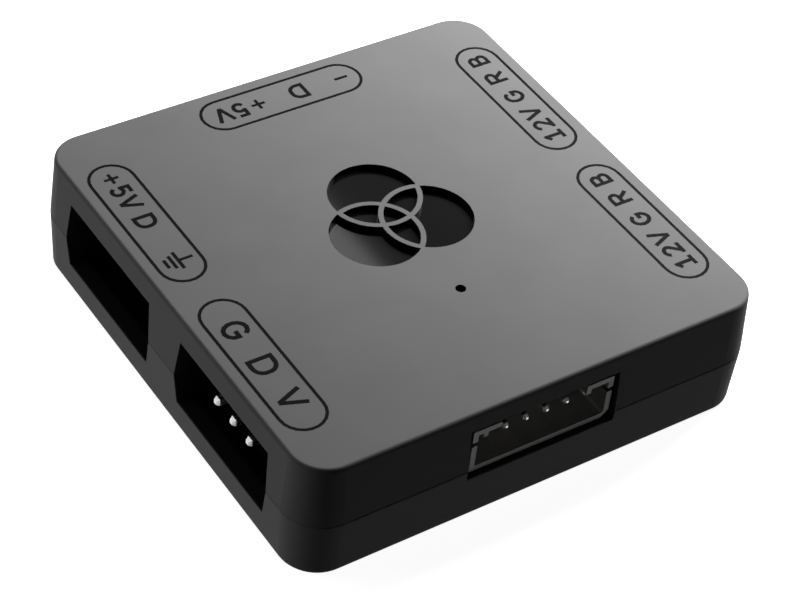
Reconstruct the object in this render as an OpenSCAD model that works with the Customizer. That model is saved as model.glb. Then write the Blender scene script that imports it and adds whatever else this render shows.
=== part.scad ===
// Voltage converter for coloured light strips, as used inside a desktop computer.
// Two moulded half shells close round a circuit board with five pin headers and a power inlet.
// +X points to the right wall, +Y to the back wall, +Z up. The origin is the middle of the underside.

/* [Housing] */
// Width across the side walls, at the parting line
body_w = 45; // [44:0.5:60]
// Depth from the front wall to the back wall, at the parting line
body_d = 45.2; // [44:0.2:60]
// Height of the closed housing
body_h = 11.7; // [11.5:0.1:15]
// Height of the parting line, where the walls are widest
belly_z = 5.65; // [5.4:0.05:6]
// How far the top face draws in from the parting line
top_draft = 0.4; // [0.1:0.05:0.6]
// How far the underside draws in from the parting line
bottom_draft = 0.2; // [0.1:0.05:0.6]
// Radius of the four upright corners at the parting line
corner_r = 3.6; // [3:0.1:4.5]
// Small round on the edge of the top face
top_round = 0.35; // [0.2:0.05:0.6]
// Small round on the edge of the underside
bottom_round = 0.45; // [0.2:0.05:0.6]
// Chamfer on the outer edge of each shell where the two meet
parting_chamfer = 0.08; // [0.04:0.02:0.16]

/* [Walls] */
// Thickness of the side walls at the parting line
wall = 1.5; // [1.4:0.1:1.8]
// Thickness of the top face
roof = 1.5; // [1.3:0.1:1.8]
// Thickness of the underside
floor_t = 1.5; // [1.2:0.1:1.6]
// Draft of the inside of the walls
inner_draft = 0.25; // [0.1:0.05:0.4]
// Round where the inside of a wall meets the roof or the floor
inner_round = 0.3; // [0.2:0.1:0.5]
// Thickness of the ribs beside each socket
rib_t = 1; // [0.8:0.1:1.2]

/* [Snap joint] */
// Height of the tongue on the lower shell
tongue_h = 1; // [0.8:0.1:1.2]
// Thickness of the tongue
tongue_t = 0.7; // [0.6:0.05:0.8]
// Gap between the tongue and the groove that takes it
tongue_gap = 0.1; // [0.05:0.05:0.15]
// Radius of the snap beads on the tongue
bead_r = 0.22; // [0.18:0.02:0.25]
// Radius of the grooves that take the beads
bead_groove_r = 0.3; // [0.28:0.02:0.32]
// Length of the beads on the front and the back
bead_long = 5; // [3:0.5:6]
// Length of the beads between two sockets
bead_short = 3; // [2:0.5:3.5]
// Distance of the long beads from the middle of their wall
bead_shift = 13.5; // [12:0.5:14]

/* [Sockets] */
// Width of a socket opening at its top and bottom edges
socket_w = 13.8; // [12:0.2:14.2]
// How much wider an opening is on each side at the parting line
socket_draft = 0.45; // [0.2:0.05:0.6]
// Lower edge of the socket openings
socket_z0 = 2.85; // [2.5:0.05:3]
// Upper edge of the socket openings
socket_z1 = 9.5; // [9:0.1:9.6]
// Distance of the side sockets from the middle of their wall
socket_shift = 9.5; // [9.5:0.1:10]
// Gap between an opening and the rib beside it
rib_gap = 0.05; // [0.05:0.05:0.2]

/* [Pin headers] */
// Spacing of the header pins
pin_pitch = 2.54; // [2.5:0.02:2.54]
// Side of the square header pins
pin_w = 0.64; // [0.5:0.02:0.7]
// Length of a pin in front of its base
pin_reach = 6; // [5.5:0.1:6.5]
// Depth of a header base
base_d = 2.5; // [2.3:0.1:2.6]
// Height of a header base
base_h = 2.5; // [2.4:0.1:2.6]
// Chamfer on the edges of each place of a base
base_chamfer = 0.4; // [0.2:0.1:0.5]
// Distance from the outer wall to the pin tips of the seen three-pin header
near_recess = 1.1; // [1:0.1:1.4]
// Distance from the outer wall to the pin tips of the other headers
deep_recess = 2.6; // [2.2:0.1:2.8]
// Radius of the bend in a pin, to the middle of the wire
pin_bend = 0.8; // [0.7:0.1:1]
// Straight part of a pin between its base and its bend
pin_step = 0.5; // [0.4:0.1:0.8]
// Length of a pin below the board
pin_tail = 1.3; // [0.8:0.1:1.4]
// Point on each end of a pin
pin_point = 0.15; // [0.1:0.05:0.2]
// Gap round a pin in its base
pin_fit = 0.02; // [0.01:0.01:0.04]

/* [Power inlet] */
// Number of ways of the power inlet
power_ways = 6; // [4:1:6]
// Spacing of the power pins
power_pitch = 2; // [2:0.1:2.1]
// Side of the square power pins
power_pin_w = 0.5; // [0.4:0.05:0.6]
// Height of the power pins above the board
power_pin_rise = 2.65; // [2.5:0.05:2.8]
// Distance from the front wall to the power pin tips
power_tip_recess = 1.2; // [1:0.1:1.6]
// Plastic beyond the outer pins, on each side
shroud_side = 1.9; // [1.7:0.1:2]
// Height of the shroud
shroud_h = 4.5; // [4.4:0.1:4.6]
// Depth of the shroud
shroud_d = 7.6; // [7:0.1:8]
// Thickness of the shroud walls
shroud_wall = 0.5; // [0.4:0.05:0.6]
// Thickness of the shroud's rear wall, which holds the pins
shroud_rear = 1.2; // [1:0.1:1.5]
// Distance from the front wall to the face of the shroud
shroud_recess = 0.45; // [0.3:0.05:0.6]
// Length of shroud roof left at each end of the open top
shroud_lip = 2.7; // [2.4:0.1:2.9]
// Height of the slot in each end of the shroud
shroud_slot_h = 0.45; // [0.3:0.05:0.6]
// Height of that slot above the board
shroud_slot_rise = 2.85; // [2.6:0.05:3]
// Depth of that slot, and of the open top
shroud_slot_d = 5; // [4:0.5:5.5]
// Size of the keys under the shroud roof
shroud_key = 0.45; // [0.3:0.05:0.5]
// Chamfer on the lower right edge of the shroud
shroud_chamfer = 0.7; // [0.4:0.1:0.9]
// Gap between the shroud and its opening, at each side
inlet_gap = 0.4; // [0.3:0.05:0.5]
// Gap between the shroud and the lower edge of its opening
inlet_gap_low = 0.35; // [0.3:0.05:0.4]

/* [Circuit board] */
// Height of the top of the board
board_top = 5; // [4.9:0.05:5.1]
// Thickness of the board
board_t = 1.6; // [1.5:0.1:1.9]
// Distance from the outer walls to the board at the sides and the back
board_inset = 7.1; // [6.6:0.1:7.2]
// Gap between the front edge of the board and the front wall
board_front_gap = 0.2; // [0.15:0.05:0.4]
// Radius of the board's corners
board_corner = 1; // [0.5:0.1:1.5]
// Gap between the corners of a pin and its hole in the board
pin_hole_gap = 0.05; // [0.03:0.01:0.08]

/* [Board screws] */
// Radius of a screw's shank
screw_r = 0.8; // [0.7:0.05:0.9]
// Length of a screw's shank
screw_l = 3.9; // [3.5:0.1:4]
// Radius of a screw's head
screw_head_r = 1.8; // [1.6:0.1:1.9]
// Height of a screw's head
screw_head_h = 1.2; // [1:0.1:1.4]
// Gap between the shank and the hole in its boss
screw_fit = 0.05; // [0.03:0.01:0.08]
// Gap between the shank and its hole in the board
screw_play = 0.3; // [0.2:0.05:0.4]
// Radius of the bosses under the board
boss_r = 2.1; // [1.9:0.1:2.3]
// Floor left under each boss
boss_floor = 0.8; // [0.6:0.1:0.9]
// Distance of the front screws from the side edges of the board
screw_side = 2.5; // [2.2:0.1:2.8]
// Distance of the front screws from the front edge of the board
screw_front = 2.9; // [2.6:0.1:3]
// Distance of the back screws from the tails of the side headers, towards the middle
screw_back_x = 3.1; // [2.9:0.1:3.3]
// Distance of the back screws from the back edge of the board
screw_back = 2.3; // [2.1:0.1:2.6]
// Radius of the posts that press the board down between the side headers
post_r = 1.3; // [1:0.1:1.5]
// Gap between a post and the board
post_gap = 0.15; // [0.1:0.05:0.2]

/* [Emblem and indicator] */
// Radius of the three discs of the emblem
emblem_r = 4; // [3:0.1:4.2]
// Distance of each disc from the middle of the emblem
emblem_spread = 3; // [2.5:0.1:3.2]
// Width of the raised lines in the emblem
emblem_line = 0.45; // [0.3:0.05:0.6]
// Depth of the emblem
emblem_depth = 0.55; // [0.4:0.05:0.7]
// Distance of the emblem behind the middle of the top
emblem_y = 0.8; // [0:0.1:2]
// Radius of the indicator hole
pinhole_r = 0.46; // [0.4:0.01:0.6]
// Distance of the indicator hole in front of the middle of the top
pinhole_y = 9.56; // [9:0.02:10]

/* [Components] */
// Length of the controller's body
chip_l = 9.9; // [8.6:0.1:10]
// Width of the controller's body
chip_w = 3.9; // [3.8:0.1:4]
// Height of the controller
chip_h = 1.6; // [1.4:0.1:1.8]
// Number of leads on each side of the controller
chip_leads = 8; // [6:1:8]
// Spacing of the controller's leads
chip_pitch = 1.2; // [1:0.05:1.2]
// Radius of the can capacitors
can_r = 2; // [1.8:0.1:2.1]
// Height of the can capacitors
can_h = 4.4; // [4:0.1:4.6]
// Side of the choke
choke_w = 4; // [3.6:0.1:4.2]
// Height of the choke
choke_h = 1.9; // [1.6:0.1:2.2]

/* [Hidden] */
$fn = 64;
// How far a cutter runs past what it cuts
past = 1;
// Steps in the small rounds along the housing's edges
arc_steps = 6;

// A header is [turn of its wall, reach of its wall, shift along it, places, filled places, recess]
LEFT_REAR = [90, body_w / 2, socket_shift, 4, [0, 2, 3], deep_recess];
LEFT_FRONT = [90, body_w / 2, -socket_shift, 3, [0, 1, 2], near_recess];
RIGHT_REAR = [-90, body_w / 2, -socket_shift, 4, [0, 1, 2, 3], deep_recess];
RIGHT_FRONT = [-90, body_w / 2, socket_shift, 4, [0, 1, 2, 3], deep_recess];
BACK = [0, body_d / 2, 0, 3, [0, 1, 2], deep_recess];
HEADERS = [LEFT_REAR, LEFT_FRONT, RIGHT_REAR, RIGHT_FRONT, BACK];

ceiling = body_h - roof;
board_bottom = board_top - board_t;
board_half_w = body_w / 2 - board_inset;
board_back = body_d / 2 - board_inset;
board_front = -(body_d / 2 - wall - board_front_gap);
pin_z = board_top + base_h / 2;
power_pin_z = board_top + power_pin_rise;
shroud_w = (power_ways - 1) * power_pitch + 2 * shroud_side;
shroud_face = -(body_d / 2 - shroud_recess);

// Distance from the outer wall to the tails of a header and of the power inlet
function tail_reach(h) = h[5] + pin_reach + base_d + pin_step + pin_bend;
power_tail = shroud_recess + shroud_d + pin_step + pin_bend;

// Rows of tails that screws and components keep clear of, measured from the middle of the board
side_tail = body_w / 2 - tail_reach(LEFT_REAR);
back_tail = body_d / 2 - tail_reach(BACK);
front_tail = power_tail - body_d / 2;

// Places of the screws, and of the posts that press on the board
SCREWS = [[-(board_half_w - screw_side), board_front + screw_front],
          [board_half_w - screw_side, board_front + screw_front],
          [screw_back_x - side_tail, board_back - screw_back],
          [side_tail - screw_back_x, board_back - screw_back]];
POSTS = [[-(board_half_w - screw_side), 0], [board_half_w - screw_side, 0]];

// Places of the components on the board
chip_at = [-0.5, 0.6];
regulator_at = [4.1 - side_tail, front_tail + 5.25];
diode_at = [side_tail - 3.6, front_tail + 2.85];
input_can_at = [1, -5.4];
output_can_at = [3.1 - side_tail, 6.5];
choke_at = [6, -5.5];
transistor_x = side_tail - 2.9;
transistor_y = [-0.8, 3, 6.8];
// The outer ceramic capacitors stand between the tails and the controller
ceramic_x = (chip_at[0] - chip_l / 2 - side_tail) / 2 + 0.175;
ceramic_at = [[ceramic_x, -1.6], [ceramic_x, 1.2], [-1.8, 6.2], [1.6, 6.2]];
resistor_at = [[-2.4, back_tail - 1.6], [0, back_tail - 1.6], [2.4, back_tail - 1.6],
               [side_tail - 7.9, front_tail + 2.05]];

// Reach of the middle of an edge round, for a wall that draws in by draft over a given rise
function round_mid(reach, draft, rise, r) =
    reach - (r * norm([draft, rise]) + (rise - r) * draft) / rise;

// Points round a small arc, from one angle to another
function arc(mid, r, from, to) =
    [for (k = [0 : arc_steps]) let (a = from + (to - from) * k / arc_steps) mid + r * [cos(a), sin(a)]];

// Half of a wall section: widest at the belly, drawn in above and below, edges rounded, and a
// groove of two chamfers where the belly is cut in two
module half_section(reach, z0, belly, z1, draft0, draft1, r0, r1, groove) {
    rise0 = belly - z0;
    rise1 = z1 - belly;
    mid0 = [round_mid(reach, draft0, rise0, r0), z0 + r0];
    mid1 = [round_mid(reach, draft1, rise1, r1), z1 - r1];
    plain = [[reach, belly]];
    grooved = [[reach - draft0 * groove / rise0, belly - groove], [reach - groove, belly],
               [reach - draft1 * groove / rise1, belly + groove]];
    polygon(concat([[0, z0]], arc(mid0, r0, -90, -atan2(draft0, rise0)), groove > 0 ? grooved : plain,
                   arc(mid1, r1, atan2(draft1, rise1), 90), [[0, z1]]));
}

// The same section on both sides, carried straight along a wall
module bar(reach, length, z0, belly, z1, draft0, draft1, r0, r1, groove) {
    rotate([90, 0, 0]) linear_extrude(length, center = true) {
        half_section(reach, z0, belly, z1, draft0, draft1, r0, r1, groove);
        mirror([1, 0]) half_section(reach, z0, belly, z1, draft0, draft1, r0, r1, groove);
    }
}

// A rounded block with drafted walls: straight bars both ways, and a turned corner in each corner
module drafted_block(w, d, corner, z0, belly, z1, draft0, draft1, r0, r1, groove) {
    bar(w / 2, d - 2 * corner, z0, belly, z1, draft0, draft1, r0, r1, groove);
    rotate([0, 0, 90]) bar(d / 2, w - 2 * corner, z0, belly, z1, draft0, draft1, r0, r1, groove);
    for (x = [-1, 1], y = [-1, 1])
        translate([x * (w / 2 - corner), y * (d / 2 - corner), 0]) rotate_extrude()
            half_section(corner, z0, belly, z1, draft0, draft1, r0, r1, groove);
}

module outer_form() {
    drafted_block(body_w, body_d, corner_r, 0, belly_z, body_h,
                  bottom_draft, top_draft, bottom_round, top_round, parting_chamfer);
}

module inner_form() {
    drafted_block(body_w - 2 * wall, body_d - 2 * wall, corner_r - wall,
                  floor_t, belly_z, ceiling, inner_draft, inner_draft, inner_round, inner_round, 0);
}

module rounded_rect(w, d, r) {
    square([w - 2 * r, d], center = true);
    square([w, d - 2 * r], center = true);
    for (x = [-1, 1], y = [-1, 1]) translate([x * (w / 2 - r), y * (d / 2 - r)]) circle(r);
}

// A band along the parting line that stands from inner to outer, measured from the inside of the wall
module wall_band(inner, outer, z0, z1) {
    r = corner_r - wall;
    w = body_w - 2 * wall;
    d = body_d - 2 * wall;
    translate([0, 0, z0]) linear_extrude(z1 - z0) difference() {
        rounded_rect(w + 2 * outer, d + 2 * outer, r + outer);
        rounded_rect(w + 2 * inner, d + 2 * inner, r + inner);
    }
}

// Local frame on a wall: x runs along it, y points out of the housing
module on_wall(turn, reach, shift) {
    rotate([0, 0, turn]) translate([shift, reach, 0]) children();
}

module on_header(h) {
    on_wall(h[0], h[1], h[2]) children();
}

// Cutter for a socket opening, widest at the parting line so that each shell leaves its mould
module socket_cutter() {
    half = socket_w / 2;
    wide = half + socket_draft;
    translate([0, past, 0]) rotate([90, 0, 0]) linear_extrude(wall + 2 * past)
        polygon([[-half, socket_z0], [half, socket_z0], [wide, belly_z],
                 [half, socket_z1], [-half, socket_z1], [-wide, belly_z]]);
}

module inlet_cutter() {
    half = shroud_w / 2 + inlet_gap;
    z0 = board_top - inlet_gap_low;
    z1 = board_top + shroud_h + inlet_gap;
    translate([-half, -body_d / 2 - past, z0]) cube([2 * half, wall + 2 * past, z1 - z0]);
}

module all_openings() {
    for (h = HEADERS) on_header(h) socket_cutter();
    inlet_cutter();
}

// The two ribs that guide a plug beside each socket
module guide_ribs(z0, z1) {
    inside = socket_w / 2 + socket_draft + rib_gap;
    length = board_inset - wall / 2 - 2 * tongue_gap;
    for (h = HEADERS) on_header(h) for (side = [0, 1]) mirror([side, 0, 0])
        translate([inside, -wall / 2 - length, z0]) cube([rib_t, length, z1 - z0]);
}

// Beads or grooves of the snap joint, lying along the outside of the tongue
module snap_beads(r) {
    z = belly_z + tongue_h / 2;
    depth = wall - tongue_t;
    for (shift = [-bead_shift, bead_shift], turn = [0, 180])
        on_wall(turn, body_d / 2 - depth, shift) bead(r, bead_long, z);
    for (turn = [-90, 90]) on_wall(turn, body_w / 2 - depth, 0) bead(r, bead_short, z);
}

module bead(r, length, z) {
    translate([0, 0, z]) rotate([0, 90, 0]) cylinder(h = length + 2 * (r - bead_r), r = r, center = true);
}

// Three overlapping discs with raised lines where their rims cross
module emblem_recess() {
    angles = [90, 210, 330];
    translate([0, emblem_y, body_h - emblem_depth]) linear_extrude(emblem_depth + past) difference() {
        for (a = angles) translate(emblem_spread * [cos(a), sin(a)]) circle(emblem_r);
        for (a = angles) translate(emblem_spread * [cos(a), sin(a)]) intersection() {
            difference() {
                circle(emblem_r + emblem_line / 2);
                circle(emblem_r - emblem_line / 2);
            }
            for (b = angles) if (b != a)
                translate(emblem_spread * [cos(b) - cos(a), sin(b) - sin(a)]) circle(emblem_r);
        }
    }
}

module below_belly() {
    translate([-body_w, -body_d, -past]) cube([2 * body_w, 2 * body_d, belly_z + past]);
}

module above_belly() {
    translate([-body_w, -body_d, belly_z]) cube([2 * body_w, 2 * body_d, body_h]);
}

module hollow_form() {
    difference() {
        outer_form();
        inner_form();
    }
}

module top_cover() {
    post_h = ceiling + roof / 2 - board_top - post_gap;
    color("#4a4a4c") difference() {
        union() {
            difference() {
                hollow_form();
                below_belly();
            }
            guide_ribs(belly_z, ceiling + roof / 2);
            for (p = POSTS) translate([p[0], p[1], board_top + post_gap]) cylinder(h = post_h, r = post_r);
        }
        wall_band(-tongue_gap, tongue_t + tongue_gap, 0, belly_z + tongue_h + tongue_gap);
        snap_beads(bead_groove_r);
        all_openings();
        emblem_recess();
        translate([0, -pinhole_y, ceiling - past]) cylinder(h = roof + 2 * past, r = pinhole_r);
    }
}

module tongue() {
    difference() {
        union() {
            wall_band(0, tongue_t, belly_z - tongue_t, belly_z + tongue_h);
            snap_beads(bead_r);
        }
        all_openings();
    }
}

module bottom_cover() {
    color("#4a4a4c") {
        difference() {
            union() {
                hollow_form();
                guide_ribs(floor_t / 2, belly_z);
                for (p = SCREWS) translate([p[0], p[1], floor_t / 2])
                    cylinder(h = board_bottom - floor_t / 2, r = boss_r);
            }
            above_belly();
            all_openings();
            for (p = SCREWS) translate([p[0], p[1], boss_floor])
                cylinder(h = board_bottom, r = screw_r + screw_fit);
        }
        tongue();
    }
}

function place_x(i, ways, pitch) = (i - (ways - 1) / 2) * pitch;

module circuit_board() {
    color("#1f5a35") translate([0, 0, board_bottom]) linear_extrude(board_t) difference() {
        translate([0, (board_front + board_back) / 2])
            rounded_rect(2 * board_half_w, board_back - board_front, board_corner);
        for (h = HEADERS, i = h[4]) rotate(h[0])
            translate([h[2] + place_x(i, h[3], pin_pitch), h[1] - tail_reach(h)])
                circle(pin_w / sqrt(2) + pin_hole_gap);
        for (i = [0 : power_ways - 1])
            translate([place_x(i, power_ways, power_pitch), power_tail - body_d / 2])
                circle(power_pin_w / sqrt(2) + pin_hole_gap);
        for (p = SCREWS) translate(p) circle(screw_r + screw_play);
    }
}

// Pan head screw, driven from above through the board into its boss
module board_screws() {
    dome_r = 3;
    slot_l = 1.9;
    slot_w = 0.4;
    slot_d = 0.5;
    color("#c8c8cc") for (p = SCREWS) translate([p[0], p[1], board_top]) {
        translate([0, 0, -screw_l]) cylinder(h = screw_l, r = screw_r);
        difference() {
            rotate_extrude() intersection() {
                square([screw_head_r, screw_head_h]);
                translate([0, screw_head_h - dome_r]) circle(dome_r);
            }
            for (turn = [0, 90]) rotate([0, 0, turn])
                translate([-slot_l / 2, -slot_w / 2, screw_head_h - slot_d]) cube([slot_l, slot_w, past]);
        }
    }
}

// Square wire along -Y from its tip at the origin, with a chamfered point
module pin_bar(w, length) {
    intersection() {
        rotate([0, 0, 90]) rotate([90, 0, 0]) linear_extrude(w, center = true) pin_outline(w, length);
        linear_extrude(w, center = true) rotate(90) mirror([0, 1]) pin_outline(w, length);
    }
}

module pin_outline(w, length) {
    tip = w / 2 - pin_point;
    polygon([[0, -tip], [0, tip], [-2 * pin_point, w / 2], [-length, w / 2],
             [-length, -w / 2], [-2 * pin_point, -w / 2]]);
}

// Right-angle pin: straight run inwards, a quarter bend, and a tail down through the board
module bent_pin(w, run, drop) {
    pin_bar(w, run);
    translate([0, -run, -pin_bend]) rotate([180, 0, 0]) rotate([0, 90, 0])
        rotate_extrude(angle = 90) translate([pin_bend, 0]) square(w, center = true);
    translate([0, -run - pin_bend, -pin_bend - drop]) rotate([-90, 0, 0]) pin_bar(w, drop);
}

module header_pins(h) {
    drop = pin_z - board_bottom + pin_tail - pin_bend;
    color("#cfcfcc") on_header(h) for (i = h[4])
        translate([place_x(i, h[3], pin_pitch), -h[5], pin_z])
            bent_pin(pin_w, pin_reach + base_d + pin_step, drop);
}

// Base of a header: a row of eight-sided blocks, each with a square hole for its pin
module header_base(h) {
    half_x = pin_pitch / 2;
    half_z = base_h / 2;
    c = base_chamfer;
    hole = pin_w + 2 * pin_fit;
    color("#1c1c1e") on_header(h) translate([0, -h[5] - pin_reach, pin_z]) rotate([90, 0, 0])
        linear_extrude(base_d) for (i = [0 : h[3] - 1]) translate([place_x(i, h[3], pin_pitch), 0])
            difference() {
                polygon([[-half_x, c - half_z], [c - half_x, -half_z], [half_x - c, -half_z],
                         [half_x, c - half_z], [half_x, half_z - c], [half_x - c, half_z],
                         [c - half_x, half_z], [-half_x, half_z - c]]);
                square(hole, center = true);
            }
}

module left_rear_header_base() header_base(LEFT_REAR);
module left_rear_header_pins() header_pins(LEFT_REAR);
module left_front_header_base() header_base(LEFT_FRONT);
module left_front_header_pins() header_pins(LEFT_FRONT);
module right_rear_header_base() header_base(RIGHT_REAR);
module right_rear_header_pins() header_pins(RIGHT_REAR);
module right_front_header_base() header_base(RIGHT_FRONT);
module right_front_header_pins() header_pins(RIGHT_FRONT);
module back_header_base() header_base(BACK);
module back_header_pins() header_pins(BACK);

// Outline of the shroud seen from the front, with its one chamfered corner
module shroud_outline(inset) {
    half = shroud_w / 2;
    c = shroud_chamfer;
    polygon([[inset - half, inset], [half - c, inset], [half - inset, c],
             [half - inset, shroud_h - inset], [inset - half, shroud_h - inset]]);
}

module shroud_slice(depth) {
    translate([0, depth, 0]) rotate([90, 0, 0]) linear_extrude(depth) children();
}

module power_header_shroud() {
    half = shroud_w / 2;
    hole = power_pin_w + 2 * pin_fit;
    key_x = [-half + 2 * shroud_wall, half - shroud_lip];
    color("#b9b6ad") translate([0, shroud_face, board_top]) {
        difference() {
            shroud_slice(shroud_d) shroud_outline(0);
            translate([0, -past, 0]) shroud_slice(shroud_d - shroud_rear + past) shroud_outline(shroud_wall);
            translate([shroud_lip - half, -past, shroud_h - shroud_wall - past])
                cube([2 * (half - shroud_lip), shroud_slot_d + past, shroud_wall + 2 * past]);
            translate([-half - past, -past, shroud_slot_rise])
                cube([2 * (half + past), shroud_slot_d + past, shroud_slot_h]);
            for (i = [0 : power_ways - 1])
                translate([place_x(i, power_ways, power_pitch) - hole / 2, 0, power_pin_rise - hole / 2])
                    cube([hole, shroud_d + past, hole]);
        }
        for (x = key_x) translate([x, 0, shroud_h - shroud_wall - shroud_key])
            cube([shroud_key, shroud_slot_d, shroud_key + shroud_wall / 2]);
    }
}

module power_header_pins() {
    run = shroud_recess + shroud_d + pin_step - power_tip_recess;
    drop = power_pin_z - board_bottom + pin_tail - pin_bend;
    color("#cfcfcc") on_wall(180, body_d / 2, 0) for (i = [0 : power_ways - 1])
        translate([place_x(i, power_ways, power_pitch), -power_tip_recess, power_pin_z])
            bent_pin(power_pin_w, run, drop);
}

// Sizes of the small components
lead_t = 0.2;
lead_w = 0.4;
foot_l = 0.6;
stand_off = 0.1;
body_slope = 0.12;
chip_span = 6;
regulator = [6.5, 3.5, 1.7];
regulator_span = 7;
regulator_pitch = 2.3;
regulator_tab = 3;
transistor = [2.9, 1.3, 1];
transistor_span = 2.4;
transistor_pitch = 1.9;
diode = [4.3, 2.6, 2.1];
diode_span = 5.2;
diode_lead = 1.4;
ceramic = [2, 1.25, 0.9];
resistor = [1.6, 0.8, 0.45];
led = [1.6, 0.8, 0.35];
led_lens = [1, 0.7, 0.35];

module on_board(at) {
    translate([at[0], at[1], board_top]) children();
}

// Formed lead that leaves a body at its middle and steps down to a foot on the board
module gull_lead(width, half_body, half_span, exit_z) {
    rotate([90, 0, 90]) linear_extrude(width, center = true)
        polygon([[half_body - lead_t, exit_z - lead_t], [half_body + lead_t / 2, exit_z - lead_t],
                 [half_span - foot_l, 0], [half_span, 0], [half_span, lead_t],
                 [half_span - foot_l + lead_t / 2, lead_t], [half_body + lead_t, exit_z],
                 [half_body - lead_t, exit_z]]);
}

// Moulded body, widest at its middle, with its long side along X
module moulded_body(size) {
    half = size[1] / 2;
    mid = (stand_off + size[2]) / 2;
    in = half - body_slope;
    rotate([90, 0, 90]) linear_extrude(size[0], center = true)
        polygon([[-in, stand_off], [in, stand_off], [half, mid],
                 [in, size[2]], [-in, size[2]], [-half, mid]]);
}

module controller_chip() {
    dot_r = 0.45;
    dot_in = 0.9;
    dot_depth = 0.15;
    color("#202022") on_board(chip_at) {
        difference() {
            moulded_body([chip_l, chip_w, chip_h]);
            translate([dot_in - chip_l / 2, dot_in - chip_w / 2, chip_h - dot_depth])
                cylinder(h = past, r = dot_r);
        }
        for (i = [0 : chip_leads - 1], side = [0, 1]) mirror([0, side, 0])
            translate([place_x(i, chip_leads, chip_pitch), 0, 0])
                gull_lead(lead_w, chip_w / 2, chip_span / 2, chip_h / 2 + lead_t);
    }
}

module power_regulator() {
    exit_z = regulator[2] / 2 + lead_t;
    color("#202022") on_board(regulator_at) {
        moulded_body(regulator);
        gull_lead(regulator_tab, regulator[1] / 2, regulator_span / 2, exit_z);
        mirror([0, 1, 0]) for (i = [0 : 2]) translate([place_x(i, 3, regulator_pitch), 0, 0])
            gull_lead(2 * lead_w, regulator[1] / 2, regulator_span / 2, exit_z);
    }
}

// Small three-legged switch, turned so that its single leg points to the sockets that it drives
module channel_transistor(y) {
    exit_z = transistor[2] / 2 + lead_t;
    color("#202022") on_board([transistor_x, y]) rotate([0, 0, -90]) {
        moulded_body(transistor);
        gull_lead(lead_w, transistor[1] / 2, transistor_span / 2, exit_z);
        mirror([0, 1, 0]) for (i = [0, 1]) translate([place_x(i, 2, transistor_pitch), 0, 0])
            gull_lead(lead_w, transistor[1] / 2, transistor_span / 2, exit_z);
    }
}

module transistor_green() channel_transistor(transistor_y[0]);
module transistor_red() channel_transistor(transistor_y[1]);
module transistor_blue() channel_transistor(transistor_y[2]);

module input_diode() {
    exit_z = diode[2] / 2 + lead_t;
    color("#202022") on_board(diode_at) {
        moulded_body(diode);
        for (turn = [-90, 90]) rotate([0, 0, turn])
            gull_lead(diode_lead, diode[0] / 2, diode_span / 2, exit_z);
    }
}

// Can capacitor on its moulded seat, which has two cut corners; the crimp runs round the can
module can_capacitor(at) {
    seat_h = 0.8;
    seat_half = can_r + 0.15;
    cut = 0.7;
    crimp_z = 1.5;
    crimp_r = 0.3;
    crimp_depth = 0.2;
    tab = [0.4, 0.7, 0.15];
    color("#b8babd") on_board(at) {
        linear_extrude(seat_h) polygon([[-seat_half, -seat_half], [seat_half - cut, -seat_half],
            [seat_half, cut - seat_half], [seat_half, seat_half - cut],
            [seat_half - cut, seat_half], [-seat_half, seat_half]]);
        translate([0, 0, seat_h]) rotate_extrude() difference() {
            square([can_r, can_h - seat_h]);
            translate([can_r + crimp_r - crimp_depth, crimp_z - seat_h]) circle(crimp_r);
        }
        for (turn = [0, 180]) rotate([0, 0, turn])
            translate([seat_half - tab[0], -tab[1] / 2, 0]) cube([2 * tab[0], tab[1], tab[2]]);
    }
}

module input_capacitor() can_capacitor(input_can_at);
module output_capacitor() can_capacitor(output_can_at);

module power_choke() {
    half = choke_w / 2;
    cut = 0.6;
    well_r = 1.5;
    core_r = 1.1;
    well_d = 0.4;
    color("#3a3a3c") on_board(choke_at) difference() {
        linear_extrude(choke_h) polygon([[cut - half, -half], [half - cut, -half], [half, cut - half],
            [half, half - cut], [half - cut, half], [cut - half, half], [-half, half - cut],
            [-half, cut - half]]);
        translate([0, 0, choke_h - well_d]) linear_extrude(past) difference() {
            circle(well_r);
            circle(core_r);
        }
    }
}

// Block that stands on the board, with its middle at the given place
module chip_block(at, size) {
    on_board(at) translate([-size[0] / 2, -size[1] / 2, 0]) cube(size);
}

module ceramic_capacitors() {
    color("#b08a5a") for (at = ceramic_at) chip_block(at, ceramic);
}

module resistors() {
    color("#26262a") for (at = resistor_at) chip_block(at, resistor);
}

module status_led() {
    color("#e8e6d8") {
        chip_block([0, -pinhole_y], led);
        translate([0, 0, led[2]]) chip_block([0, -pinhole_y], led_lens);
    }
}

top_cover();
bottom_cover();
circuit_board();
board_screws();
power_header_shroud();
power_header_pins();
left_rear_header_base();
left_rear_header_pins();
left_front_header_base();
left_front_header_pins();
right_rear_header_base();
right_rear_header_pins();
right_front_header_base();
right_front_header_pins();
back_header_base();
back_header_pins();
controller_chip();
power_regulator();
transistor_green();
transistor_red();
transistor_blue();
input_diode();
input_capacitor();
output_capacitor();
power_choke();
ceramic_capacitors();
resistors();
status_led();
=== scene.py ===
import math

import bmesh
import bpy
import numpy as np
from mathutils import Matrix, Vector


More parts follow.
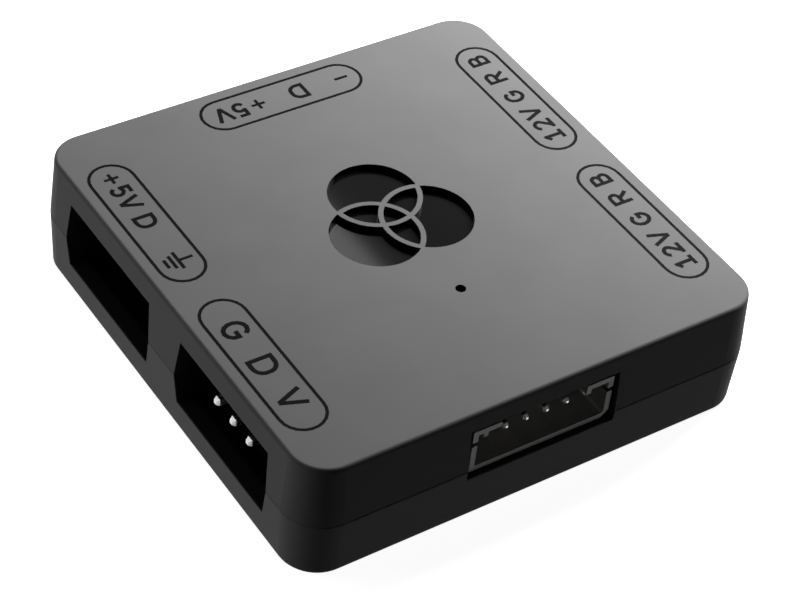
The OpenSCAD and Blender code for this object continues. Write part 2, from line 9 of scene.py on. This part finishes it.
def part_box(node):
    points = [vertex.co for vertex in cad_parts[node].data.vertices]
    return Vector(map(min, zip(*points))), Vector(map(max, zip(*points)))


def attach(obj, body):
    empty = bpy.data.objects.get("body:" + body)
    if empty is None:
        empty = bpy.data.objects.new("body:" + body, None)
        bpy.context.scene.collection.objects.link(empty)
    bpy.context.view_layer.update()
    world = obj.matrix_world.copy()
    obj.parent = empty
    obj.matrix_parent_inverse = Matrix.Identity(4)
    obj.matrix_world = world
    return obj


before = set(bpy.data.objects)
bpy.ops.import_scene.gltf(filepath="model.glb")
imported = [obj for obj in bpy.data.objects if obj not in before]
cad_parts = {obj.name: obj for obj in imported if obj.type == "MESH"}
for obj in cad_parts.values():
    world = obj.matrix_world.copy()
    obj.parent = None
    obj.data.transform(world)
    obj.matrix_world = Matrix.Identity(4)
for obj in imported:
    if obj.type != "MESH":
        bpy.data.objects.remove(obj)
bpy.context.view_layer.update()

# Camera
# It looks down on the front left corner of the closed housing through a long lens,
# and is held a little askew.
MM = 0.001
view_target = Vector((2.594, 1.746, 0)) * MM
view_distance = 212.1 * MM
view_turn = math.radians(-37.51)
view_height = math.radians(42.37)
view_roll = math.radians(6.863)

back = Vector((math.sin(view_turn) * math.cos(view_height),
               -math.cos(view_turn) * math.cos(view_height),
               math.sin(view_height)))
right = Vector((0, 0, 1)).cross(back).normalized()
up = back.cross(right)
rolled_right = right * math.cos(view_roll) + up * math.sin(view_roll)
rolled_up = up * math.cos(view_roll) - right * math.sin(view_roll)

camera_data = bpy.data.cameras.new("camera")
camera_data.sensor_width = 36
camera_data.lens = 107.9
camera_data.clip_start = 0.01
camera = bpy.data.objects.new("camera", camera_data)
bpy.context.scene.collection.objects.link(camera)
axes = Matrix((rolled_right, rolled_up, back)).transposed().to_4x4()
camera.matrix_world = Matrix.Translation(view_target + back * view_distance) @ axes
bpy.context.scene.camera = camera
bpy.context.scene.view_settings.view_transform = "Standard"


# Studio
# A wide pale table that reads white to the camera and in reflections, and keeps a soft shadow.
# The main soft light hangs low on the right and a small one behind, a weak one stands at the back left,
# and none is before the front wall.
def add(tree, kind, feeds=(), **settings):
    """A new shader node: its settings, then what feeds its inputs, either numbers or other outputs."""
    made = tree.nodes.new(kind)
    for name, value in settings.items():
        setattr(made, name, value)
    for socket, value in dict(feeds).items():
        if isinstance(value, bpy.types.NodeSocket):
            tree.links.new(value, made.inputs[socket])
        else:
            made.inputs[socket].default_value = value
    return made


def calc(tree, operation, a, b=0.0):
    """Output of one sum, product, comparison or the like of two numbers."""
    return add(tree, "ShaderNodeMath", {0: a, 1: b}, operation=operation).outputs[0]


def seen_white(tree):
    """1 for rays from the camera, from a reflection or through a clear body, and 0 for all others."""
    rays = add(tree, "ShaderNodeLightPath").outputs
    seen = calc(tree, "MAXIMUM", rays["Is Camera Ray"], rays["Is Glossy Ray"])
    return calc(tree, "MAXIMUM", seen, rays["Is Transmission Ray"])


table_half = 800
table_drop = 0.02
table_glow = 0.95
table_seen = 0.85
table_bounce = 0.004

table_mesh = bpy.data.meshes.new("table")
table_mesh.from_pydata([Vector((x * table_half, y * table_half, -table_drop)) * MM
                        for x, y in ((-1, -1), (1, -1), (1, 1), (-1, 1))], [], [(0, 1, 2, 3)])
table = bpy.data.objects.new("table", table_mesh)
bpy.context.scene.collection.objects.link(table)
table_paint = bpy.data.materials.new("table_paint")
table_paint.use_nodes = True
table_paint.cycles.emission_sampling = "NONE"
tree = table_paint.node_tree
tree.nodes.clear()
by_camera = add(tree, "ShaderNodeLightPath").outputs["Is Camera Ray"]
grey = calc(tree, "ADD", table_bounce, calc(tree, "MULTIPLY", by_camera, table_seen - table_bounce))
matt = add(tree, "ShaderNodeBsdfDiffuse", {"Color": grey})
glow = add(tree, "ShaderNodeEmission", {"Strength": calc(tree, "MULTIPLY", seen_white(tree), table_glow)})
both = add(tree, "ShaderNodeAddShader", {0: matt.outputs[0], 1: glow.outputs[0]})
add(tree, "ShaderNodeOutputMaterial", {"Surface": both.outputs[0]})
table_mesh.materials.append(table_paint)

world = bpy.data.worlds.new("studio")
bpy.context.scene.world = world
world.use_nodes = True
tree = world.node_tree
tree.nodes.clear()
sky = add(tree, "ShaderNodeBackground", {"Color": (1, 1, 1, 1), "Strength": seen_white(tree)})
add(tree, "ShaderNodeOutputWorld", {"Surface": sky.outputs[0]})


def soft_light(name, place, aim, width, height, power):
    """A rectangular lamp at one point, turned to another; sizes and places in millimetres."""
    data = bpy.data.lights.new(name, "AREA")
    data.shape = "RECTANGLE"
    data.size = width * MM
    data.size_y = height * MM
    data.energy = power
    lamp = bpy.data.objects.new(name, data)
    bpy.context.scene.collection.objects.link(lamp)
    lamp.location = Vector(place) * MM
    lamp.rotation_euler = (Vector(aim) - Vector(place)).to_track_quat("-Z", "Y").to_euler()


soft_light("main_light", place=(126, 60, 90), aim=(126, 60, 0), width=100, height=120, power=0.88)
soft_light("back_light", place=(37, 80, 90), aim=(37, 80, 0), width=24, height=36, power=0.04)
soft_light("left_light", place=(-290, 180, 100), aim=(0, 0, 6), width=160, height=160, power=0.24)


# Housing shells
# Two shells injection moulded, each with a fine satin paint outside.
# Cut faces, ribs, the inside and the emblem's sunk walls are coloured near black as painted shade, and the
# emblem's sunk floor is polished black.
def shader(name, colour, roughness, metallic=0.0, gloss=0.5):
    """A new material with one Principled shader; colours are linear."""
    made = bpy.data.materials.new(name)
    made.use_nodes = True
    main = made.node_tree.nodes["Principled BSDF"]
    main.inputs["Base Color"].default_value = (*colour, 1)
    main.inputs["Roughness"].default_value = roughness
    main.inputs["Metallic"].default_value = metallic
    main.inputs["Specular IOR Level"].default_value = gloss
    return made, made.node_tree, main


def place(tree):
    """Object coordinates in millimetres."""
    here = add(tree, "ShaderNodeTexCoord").outputs["Object"]
    return add(tree, "ShaderNodeVectorMath", {0: here, "Scale": 1 / MM}, operation="SCALE").outputs[0]


def split(tree, where):
    """The x, y and z of a place."""
    parts = add(tree, "ShaderNodeSeparateXYZ", {0: where}).outputs
    return parts["X"], parts["Y"], parts["Z"]


def vector(tree, operation, *feeds):
    """Outputs of one sum, length or the like of vectors: the Vector or the Value holds the result."""
    return add(tree, "ShaderNodeVectorMath", dict(enumerate(feeds)), operation=operation).outputs


def within(tree, value, from_, to):
    """1 where the value lies between two limits, and 0 elsewhere."""
    above = calc(tree, "GREATER_THAN", value, from_)
    return calc(tree, "MULTIPLY", above, calc(tree, "LESS_THAN", value, to))


def noise(tree, where, size, detail, stretch=(1, 1, 1)):
    """Noise from 0 to 1 whose spots are about the given size across, in millimetres."""
    spread = add(tree, "ShaderNodeMapping", {"Vector": where, "Scale": stretch}).outputs[0]
    feeds = {"Vector": spread, "Scale": 1 / size, "Detail": detail}
    return add(tree, "ShaderNodeTexNoise", feeds).outputs[0]


def ramp(tree, value, low, high, at_low, at_high):
    """The value carried in a straight line from one range to another, held at both ends."""
    feeds = {"Value": value, "From Min": low, "From Max": high, "To Min": at_low, "To Max": at_high}
    return add(tree, "ShaderNodeMapRange", feeds).outputs[0]


def blend(tree, share, a, b):
    """Colour between two others, by a share from 0 to 1."""
    mix = add(tree, "ShaderNodeMix", {0: share}, data_type="RGBA")
    for socket, value in ((6, a), (7, b)):
        if isinstance(value, bpy.types.NodeSocket):
            tree.links.new(value, mix.inputs[socket])
        else:
            mix.inputs[socket].default_value = (*value, 1)
    return mix.outputs[2]


def shades(colour, share):
    """A darker and a lighter shade of one colour."""
    return [c * (1 - share) for c in colour], [c * (1 + share) for c in colour]


def tint(tree, main, colour):
    """Base colour from a pattern."""
    tree.links.new(colour, main.inputs["Base Color"])


def relief(tree, main, height, depth, strength):
    """Bump of a height pattern from 0 to 1, as deep as given in millimetres."""
    bump = add(tree, "ShaderNodeBump", {"Height": height, "Distance": depth * MM, "Strength": strength})
    tree.links.new(bump.outputs[0], main.inputs["Normal"])


def skin(tree, main, pattern, roughness, depth, strength):
    """Roughness between two values and a bump, both by one noise."""
    tree.links.new(ramp(tree, pattern, *noise_span, *roughness), main.inputs["Roughness"])
    relief(tree, main, pattern, depth, strength)


def dress(material, *names):
    """Gives CAD nodes their finish."""
    for name in names:
        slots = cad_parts[name].data.materials
        slots.clear()
        slots.append(material)


# most of a noise lies between these two values
noise_span = (0.3, 0.7)

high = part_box("top_cover")[1] / MM
body_half = (high.x, high.y)
body_h = high.z
belly_z = 5.65
top_draft = 0.4
bottom_draft = 0.2
corner_r = 3.6
# room for the rounded edges: up from the underside, down from the top, and in from the walls
low_edge = 0.5
top_edge = 0.4
edge_reach = 0.55
# paint lies on faces no further in than this from the drafted walls, and from the top and underside
wall_coat = 0.1
flat_coat = 0.05
emblem_y = 0.8
emblem_reach = 7.6
emblem_deepest = 0.8
paint_colour = (0.158, 0.158, 0.16)
# near black: painted shade on the housing's cut and inner faces, and the emblem's polished black floor
shade_and_polished_black = (0.006, 0.006, 0.0062)
satin_roughness = (0.46, 0.54)
painted_shade_roughness = 0.6
polished_roughness = 0.08
grain_depth = 0.006
grain_strength = 0.5
polished_strength = 0.02

housing, tree, main = shader("housing", paint_colour, roughness=0.5, gloss=0.04)
where = place(tree)
x, y, z = split(tree, where)
flat = add(tree, "ShaderNodeCombineXYZ", {0: x, 1: y}).outputs[0]
core = (body_half[0] - corner_r, body_half[1] - corner_r, 0)
past_core = vector(tree, "SUBTRACT", vector(tree, "ABSOLUTE", flat)["Vector"], core)["Vector"]
outside_core = vector(tree, "MAXIMUM", past_core, (0, 0, 0))["Vector"]
from_core = vector(tree, "LENGTH", outside_core)["Value"]
drawn_in = calc(tree, "ADD", ramp(tree, z, 0, belly_z, bottom_draft, 0),
                ramp(tree, z, belly_z, body_h, 0, top_draft))
behind_wall = calc(tree, "SUBTRACT", calc(tree, "SUBTRACT", corner_r, drawn_in), from_core)

# painted shade: the cut faces at the openings and all faces inside the walls are coloured near black where
# shade falls
painted_shade_cut = calc(tree, "MULTIPLY", within(tree, z, low_edge, body_h - top_edge),
                calc(tree, "GREATER_THAN", behind_wall, wall_coat))
inside_shade_and_emblem_floor = calc(tree, "MULTIPLY", within(tree, z, flat_coat, body_h - flat_coat),
                 calc(tree, "GREATER_THAN", behind_wall, edge_reach))
painted_shade_and_emblem_floor = calc(tree, "MAXIMUM", painted_shade_cut, inside_shade_and_emblem_floor)
from_emblem = vector(tree, "DISTANCE", flat, (0, emblem_y, 0))["Value"]
polished = calc(tree, "MULTIPLY", within(tree, z, body_h - emblem_deepest, body_h - flat_coat),
                calc(tree, "LESS_THAN", from_emblem, emblem_reach))

grain = noise(tree, where, size=0.16, detail=3)
cloud = noise(tree, where, size=6, detail=2)
paint = blend(tree, ramp(tree, cloud, *noise_span, 0, 1), *shades(paint_colour, 0.03))
# satin paint outside, near black painted shade on cut and inner faces, and polished black on the emblem's
# floor
tint(tree, main, blend(tree, painted_shade_and_emblem_floor, paint, shade_and_polished_black))
satin = ramp(tree, grain, *noise_span, *satin_roughness)
shade_and_polished_roughness = ramp(tree, polished, 0, 1, painted_shade_roughness, polished_roughness)
rough = add(tree, "ShaderNodeMix", {0: painted_shade_and_emblem_floor, 2: satin, 3: shade_and_polished_roughness}, data_type="FLOAT").outputs[0]
tree.links.new(rough, main.inputs["Roughness"])
smoothed = calc(tree, "MULTIPLY", polished, grain_strength - polished_strength)
relief(tree, main, grain, grain_depth, calc(tree, "SUBTRACT", grain_strength, smoothed))
dress(housing, "top_cover", "bottom_cover")


# Pin marks
# Screen printed in black ink on the top face, one ring of a line with rounded ends beside each socket.
# In each ring stand the usual marks of its pins: supply, data, ground and the colour channels.
ink_h = 0.012
ink_sink = 0.01
ink_step = 0.001
curve_steps = 12
ring_half_l = 7.98
ring_half_w = 1.985
ring_line = 0.27
# the line of letters as high as line_letter_h; it grows with the root of their height
letter_line = 0.36
line_letter_h = 2
# width of each letter as a share of its height
LETTER_WIDTH = {"G": 0.86, "D": 0.83, "V": 0.87, "R": 0.78, "B": 0.71, "1": 0.62, "2": 0.68, "5": 0.67}
# how far the strokes of a V run on at its top and its foot, and the foot of a 1 or 2 at either side
v_rise = 0.1
v_drop = 0.12
foot_reach = 0.15
# plus, minus and ground: the line, half the length of the first two, and ground's bars and stem
bar_line = 0.29
bar_half = 0.66
GROUND_BARS = ((1.08, 0.04), (0.81, -0.5), (0.53, -1.06))
ground_stem = 1.36
V12_MARKS = (("1", -6.05), ("2", -4.36), ("V", -2.56), ("G", 0.17), ("R", 3.21), ("B", 5.98))
# turn of the reading direction, middle x, middle y, height of the letters, marks with their shift
MARKS = {
    "left_rear": (-90, -18.87, 9.39, 1.98,
                  (("+", -6.19), ("5", -4.43), ("V", -2.76), ("D", -0.07), ("ground", 5.39))),
    "left_front": (-90, -18.86, -9.56, 2.42, (("G", -4.21), ("D", 0.29), ("V", 4.45))),
    "right_rear": (90, 18.73, 9.41, 1.98, V12_MARKS),
    "right_front": (90, 18.77, -9.51, 1.98, V12_MARKS),
    "back": (180, -0.1, 18.87, 2.0,
             (("minus", -6.14), ("D", -1.68), ("+", 2.45), ("5", 4.28), ("V", 5.95))),
}


def arc(mid_x, mid_y, r_x, r_y, from_, to):
    """Points round part of an ellipse: its middle plus its radii times the cosine and sine of the angle."""
    a = np.radians(np.linspace(from_, to, curve_steps))
    return np.stack([mid_x + r_x * np.cos(a), mid_y + r_y * np.sin(a)], 1)


def band(path, line, closed=False, top=ink_h):
    """Line of ink with a flat oblong section, carried along a path.

    The section's corners lie at half the line to either side of each point, along the sum of the two
    normals that meet there over its share of one of them, which keeps the width through a turn."""
    path = np.vstack(path)
    ahead = np.roll(path, -1, 0) - path
    ahead /= np.linalg.norm(ahead, axis=1, keepdims=True)
    behind = np.roll(ahead, 1, 0)
    if not closed:
        behind[0] = ahead[0]
        ahead[-1] = behind[-1]
    to_left = np.array([[0, 1], [-1, 0]])
    normal = ahead @ to_left
    both = normal + behind @ to_left
    out = both / np.sum(both * normal, 1, keepdims=True) * line / 2
    n = len(path)
    corners = ((-1, -ink_sink), (-1, top), (1, top), (1, -ink_sink))
    points = np.concatenate([np.column_stack([path + side * out, np.full(n, h)]) for side, h in corners])
    k, i = np.meshgrid(np.arange(4), np.arange(n if closed else n - 1), indexing="ij")
    next_k = (k + 1) % 4
    next_i = (i + 1) % n
    faces = np.stack([k * n + i, k * n + next_i, next_k * n + next_i, next_k * n + i], 2).reshape(-1, 4)
    if not closed:
        ends = np.arange(4) * n
        faces = np.vstack([faces, ends, ends[::-1] + n - 1])
    return points, faces


def strokes(sign, w, h):
    """Paths of one mark's pen strokes, each with whether it closes, for a half width and a half height.

    A letter's points are shares of the two, and some strokes run on or stop short by a fixed length."""
    half_line = letter_line / 2
    if sign == "+":
        return (([(-w, 0), (w, 0)], False), ([(0, -w), (0, w)], False))
    if sign == "minus":
        return (([(-w, 0), (w, 0)], False),)
    if sign == "ground":
        bars = tuple(([(-half, y), (half, y)], False) for half, y in GROUND_BARS)
        return bars + (([(0, 0), (0, ground_stem)], False),)
    if sign == "G":
        return (([arc(0, 0, w, h, 38, 328), (0.92 * w, -0.05 * h), (0.1 * w, -0.05 * h)], False),)
    if sign == "D":
        return (([(-w, -h), arc(-0.15 * w, -0.15 * h, 1.15 * w, 0.85 * h, -90, 0),
                  arc(-0.15 * w, 0.15 * h, 1.15 * w, 0.85 * h, 0, 90), (-w, h)], True),)
    if sign == "V":
        return tuple(([(side * w, h + v_rise), (0, -h - v_drop)], False) for side in (-1, 1))
    if sign == "R":
        return (([(-w, -h - half_line), (-w, h), arc(0.25 * w, 0.48 * h, 0.72 * w, 0.52 * h, 90, -90),
                  (-w + half_line, -0.04 * h)], False),
                ([(-0.05 * w, -0.04 * h), (w, -h - half_line)], False))
    if sign == "B":
        return (([(-w, -h), arc(0.2 * w, -0.48 * h, 0.8 * w, 0.52 * h, -90, 90), (-w, 0.04 * h)], True),
                ([(-w, 0), (-w, h), arc(0.1 * w, 0.52 * h, 0.78 * w, 0.48 * h, 90, -90)], False))
    foot = ([(-w - foot_reach, -h), (w + foot_reach, -h)], False)
    if sign == "1":
        return (([(0.1 * w, h + half_line), (0.1 * w, -h)], False),
                ([(-w, 0.6 * h), (0.1 * w, h)], False), foot)
    if sign == "2":
        return (([arc(0, 0.42 * h, w, 0.58 * h, 165, -25), (-0.8 * w, -h)], False), foot)
    if sign == "5":
        return (([arc(-0.05 * w, -0.37 * h, w, 0.63 * h, 138, -155)], False),
                ([(0.85 * w, h), (-0.78 * w, h), (-0.84 * w, -0.08 * h)], False))


def printed(sign, letter_h):
    """Mesh of each stroke of one mark, upright round the origin; each lies a hair below the last."""
    line = letter_line * (letter_h / line_letter_h) ** 0.5 if sign in LETTER_WIDTH else bar_line
    w = LETTER_WIDTH[sign] * letter_h / 2 - line / 2 if sign in LETTER_WIDTH else bar_half
    h = letter_h / 2 - line / 2
    paths = enumerate(strokes(sign, w, h))
    return [band(path, line, closed, ink_h - ink_step * k) for k, (path, closed) in paths]


ink, tree, main = shader("ink", (0.004, 0.004, 0.0042), roughness=0.6, gloss=0.02)
fine = noise(tree, place(tree), size=0.12, detail=3)
tint(tree, main, blend(tree, fine, (0.002, 0.002, 0.0022), (0.006, 0.006, 0.0062)))
skin(tree, main, fine, roughness=(0.5, 0.68), depth=0.003, strength=0.4)

straight_half = ring_half_l - ring_half_w
ring = band([arc(straight_half, 0, ring_half_w, ring_half_w, -90, 90),
             arc(-straight_half, 0, ring_half_w, ring_half_w, 90, 270)], ring_line, closed=True)
for name, (turn, mid_x, mid_y, letter_h, marks) in MARKS.items():
    parts = [ring]
    for sign, shift in marks:
        parts += [(points + (shift, 0, 0), faces) for points, faces in printed(sign, letter_h)]
    starts = np.cumsum([0] + [len(points) for points, faces in parts])
    all_points = np.concatenate([points for points, faces in parts])
    all_faces = np.concatenate([faces + first for first, (points, faces) in zip(starts, parts)])
    stamp = bpy.data.meshes.new("mark_" + name)
    stamp.from_pydata(all_points.tolist(), [], all_faces.tolist())
    stamp.transform(Matrix.Translation(Vector((mid_x, mid_y, body_h)) * MM)
                    @ Matrix.Rotation(math.radians(turn), 4, "Z") @ Matrix.Scale(MM, 4))
    stamp.materials.append(ink)
    piece = bpy.data.objects.new("mark_" + name, stamp)
    bpy.context.scene.collection.objects.link(piece)
    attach(piece, "root")


# Pin headers
# Five rows of square pins, drawn wire with a thin bright tin plating, pressed through black moulded bases.
# The bases are glass filled, so their skin is slightly mottled. The inlet's pins are plated alike.
HEADERS = ("left_rear", "left_front", "right_rear", "right_front", "back")

base_black, tree, main = shader("base_black", (0.012, 0.012, 0.013), roughness=0.45, gloss=0.3)
fibres = noise(tree, place(tree), size=0.12, detail=4, stretch=(1, 1, 2.5))
tint(tree, main, blend(tree, fibres, (0.008, 0.008, 0.009), (0.02, 0.02, 0.021)))
skin(tree, main, fibres, roughness=(0.38, 0.55), depth=0.008, strength=0.5)
dress(base_black, *(h + "_header_base" for h in HEADERS))

tin, tree, main = shader("tin", (0.78, 0.78, 0.77), roughness=0.24, metallic=1.0)
where = place(tree)
drawn = noise(tree, where, size=0.05, detail=3)
dull = noise(tree, where, size=0.9, detail=2)
tint(tree, main, blend(tree, dull, (0.7, 0.7, 0.69), (0.84, 0.84, 0.83)))
skin(tree, main, drawn, roughness=(0.17, 0.33), depth=0.002, strength=0.4)
dress(tin, "power_header_pins", *(h + "_header_pins" for h in HEADERS))


# Power inlet
# A six way wafer with a thin walled shroud, moulded in natural nylon, which is slightly cloudy.
# It stands on the board with its face just behind the front wall.
nylon, tree, main = shader("nylon", (0.33, 0.32, 0.3), roughness=0.4, gloss=0.4)
where = place(tree)
flow = noise(tree, where, size=1.6, detail=3, stretch=(1, 0.4, 1))
fine = noise(tree, where, size=0.15, detail=2)
tint(tree, main, blend(tree, flow, (0.27, 0.265, 0.25), (0.38, 0.37, 0.35)))
skin(tree, main, fine, roughness=(0.34, 0.48), depth=0.004, strength=0.4)
dress(nylon, "power_header_shroud")


# Circuit board
# Woven glass and resin under a green solder mask.
# Its fine tracks and the plated rings of its holes are a pattern in the material.
weave_rate = 9
weave_relief = 0.3
ring_share = 0.16

board, tree, main = shader("board", (0.012, 0.06, 0.028), roughness=0.32)
where = place(tree)
x, y, _ = split(tree, where)
weave_x = calc(tree, "SINE", calc(tree, "MULTIPLY", x, weave_rate))
weave_y = calc(tree, "SINE", calc(tree, "MULTIPLY", y, weave_rate))
weave = ramp(tree, calc(tree, "MULTIPLY", weave_x, weave_y), -1, 1, 0, 1)
bricks = add(tree, "ShaderNodeTexBrick",
             {"Vector": where, "Color1": (0, 0, 0, 1), "Color2": (0, 0, 0, 1), "Mortar": (1, 1, 1, 1),
              "Scale": 1.0, "Mortar Size": 0.12, "Mortar Smooth": 0.3,
              "Brick Width": 3.1, "Row Height": 0.9})
patches = calc(tree, "GREATER_THAN", noise(tree, where, size=3, detail=0), 0.5)
tracks = calc(tree, "MULTIPLY", bricks.outputs["Color"], patches)
cells = add(tree, "ShaderNodeTexVoronoi", {"Vector": where, "Scale": 0.45, "Randomness": 0.8})
rings = calc(tree, "LESS_THAN", cells.outputs["Distance"], ring_share)
mask = blend(tree, tracks, (0.008, 0.045, 0.02), (0.018, 0.1, 0.042))
tint(tree, main, blend(tree, rings, mask, (0.5, 0.46, 0.36)))
height = calc(tree, "ADD", calc(tree, "MULTIPLY", weave, weave_relief), tracks)
relief(tree, main, height, depth=0.02, strength=0.5)
dress(board, "circuit_board")


# Board screws
# Four pan head screws with a cross slot, nickel plated, that hold the board down on its bosses.
# Turning has left fine rings round them.
nickel, tree, main = shader("nickel", (0.62, 0.61, 0.58), roughness=0.28, metallic=1.0)
turned = noise(tree, place(tree), size=0.08, detail=2, stretch=(1, 1, 5))
skin(tree, main, turned, roughness=(0.2, 0.4), depth=0.004, strength=0.5)
dress(nickel, "board_screws")


# Chips, transistors and diode
# Each is moulded in black epoxy round its tinned leads, and is slightly speckled.
# What lies within the moulded body's half size is resin, and what stands out of it is metal.
def between(tree, value, mid, half):
    """1 where the value lies within half of mid."""
    return calc(tree, "LESS_THAN", calc(tree, "ABSOLUTE", calc(tree, "SUBTRACT", value, mid)), half)


def metal_past(tree, main, covered):
    """Metal wherever the pattern is 0."""
    tree.links.new(calc(tree, "SUBTRACT", 1.0, covered), main.inputs["Metallic"])


def epoxy(name, half_x, half_y):
    """Black moulded body of that half size round the node's middle; what stands out of it is tinned."""
    low, high = (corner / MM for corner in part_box(name))
    mid = (low + high) / 2
    material, tree, main = shader("epoxy_" + name, (0.014, 0.014, 0.015), roughness=0.5)
    where = place(tree)
    x, y, _ = split(tree, where)
    in_body = calc(tree, "MULTIPLY", between(tree, x, mid.x, half_x), between(tree, y, mid.y, half_y))
    speck = noise(tree, where, size=0.08, detail=3)
    resin = blend(tree, speck, (0.008, 0.008, 0.009), (0.024, 0.024, 0.025))
    tint(tree, main, blend(tree, in_body, (0.6, 0.6, 0.59), resin))
    metal_past(tree, main, in_body)
    skin(tree, main, speck, roughness=(0.4, 0.62), depth=0.008, strength=0.6)
    dress(material, name)


epoxy("controller_chip", half_x=5.0, half_y=1.96)
epoxy("power_regulator", half_x=3.3, half_y=1.76)
for colour in ("green", "red", "blue"):
    epoxy("transistor_" + colour, half_x=0.66, half_y=1.5)
epoxy("input_diode", half_x=2.16, half_y=1.35)


# Capacitor cans
# Two drawn aluminium cans, each on a black plastic seat, with a black segment on its top.
# The marks of the drawing run up the can.
seat_h = 0.8
segment_x = 0.75
print_depth = 0.02

for name in ("input_capacitor", "output_capacitor"):
    low, high = (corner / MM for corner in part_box(name))
    mid = (low + high) / 2
    can, tree, main = shader("can_" + name, (0.7, 0.7, 0.71), roughness=0.3, metallic=1.0)
    where = place(tree)
    x, _, z = split(tree, where)
    seat = calc(tree, "LESS_THAN", z, low.z + seat_h)
    segment = calc(tree, "MULTIPLY", calc(tree, "GREATER_THAN", z, high.z - print_depth),
                   calc(tree, "LESS_THAN", x, mid.x - segment_x))
    dark = calc(tree, "MAXIMUM", seat, segment)
    drawn = noise(tree, where, size=0.1, detail=3, stretch=(1, 1, 0.08))
    tint(tree, main, blend(tree, dark, (0.7, 0.7, 0.71), (0.012, 0.012, 0.013)))
    metal_past(tree, main, dark)
    skin(tree, main, drawn, roughness=(0.22, 0.4), depth=0.005, strength=0.5)
    dress(can, name)


# Choke
# A block of dark fired ferrite with a round well for its coil, full of fine pores.
# It carries no print and no coating.
ferrite, tree, main = shader("ferrite", (0.035, 0.034, 0.036), roughness=0.7)
pores = noise(tree, place(tree), size=0.14, detail=4)
tint(tree, main, blend(tree, pores, (0.02, 0.02, 0.021), (0.06, 0.058, 0.06)))
relief(tree, main, pores, depth=0.02, strength=0.7)
dress(ferrite, "power_choke")


# Ceramic capacitors and resistors
# Small fired blocks, each with a tinned cap at both ends along x.
# The caps are measured from the ends of each block's own solid.
weld = 1e-6
side_spare = 0.05


def solids_of(name):
    """Lowest and highest corner, in millimetres, of each separate solid of a CAD node."""
    made = bmesh.new()
    made.from_mesh(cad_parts[name].data)
    bmesh.ops.remove_doubles(made, verts=made.verts, dist=weld)
    left, found = set(made.verts), []
    while left:
        group, edge_of_group = set(), [next(iter(left))]
        while edge_of_group:
            vertex = edge_of_group.pop()
            if vertex not in group:
                group.add(vertex)
                edge_of_group += [e.other_vert(vertex) for e in vertex.link_edges]
        left -= group
        points = np.array([v.co for v in group]) / MM
        found.append((points.min(0), points.max(0)))
    made.free()
    return sorted(found, key=lambda corners: tuple(corners[0]))


def capped(name, node, body, cap):
    """Finish of the blocks of one node: the body's colour, and tin on caps of the given length."""
    material, tree, main = shader(name, body, roughness=0.5)
    where = place(tree)
    x, y, _ = split(tree, where)
    middle = 0.0
    for low_corner, high_corner in solids_of(node):
        mid = (low_corner + high_corner) / 2
        half = (high_corner - low_corner) / 2
        here = calc(tree, "MULTIPLY", between(tree, x, mid[0], half[0] - cap),
                    between(tree, y, mid[1], half[1] + side_spare))
        middle = calc(tree, "MAXIMUM", middle, here)
    speck = noise(tree, where, size=0.1, detail=3)
    fired = blend(tree, speck, *shades(body, 0.2))
    tint(tree, main, blend(tree, middle, (0.62, 0.61, 0.6), fired))
    metal_past(tree, main, middle)
    skin(tree, main, speck, roughness=(0.35, 0.6), depth=0.008, strength=0.5)
    dress(material, node)


capped("fired_ceramic", "ceramic_capacitors", body=(0.4, 0.27, 0.15), cap=0.35)
capped("resistor_glaze", "resistors", body=(0.012, 0.012, 0.014), cap=0.3)


# Indicator
# A block of clear resin with a lens on top, under the pinhole, slightly clouded.
# It is shown unlit.
resin, tree, main = shader("clear_resin", (0.8, 0.78, 0.68), roughness=0.2)
swirl = noise(tree, place(tree), size=0.4, detail=2)
tint(tree, main, blend(tree, swirl, (0.72, 0.7, 0.58), (0.86, 0.85, 0.78)))
relief(tree, main, swirl, depth=0.006, strength=0.4)
dress(resin, "status_led")
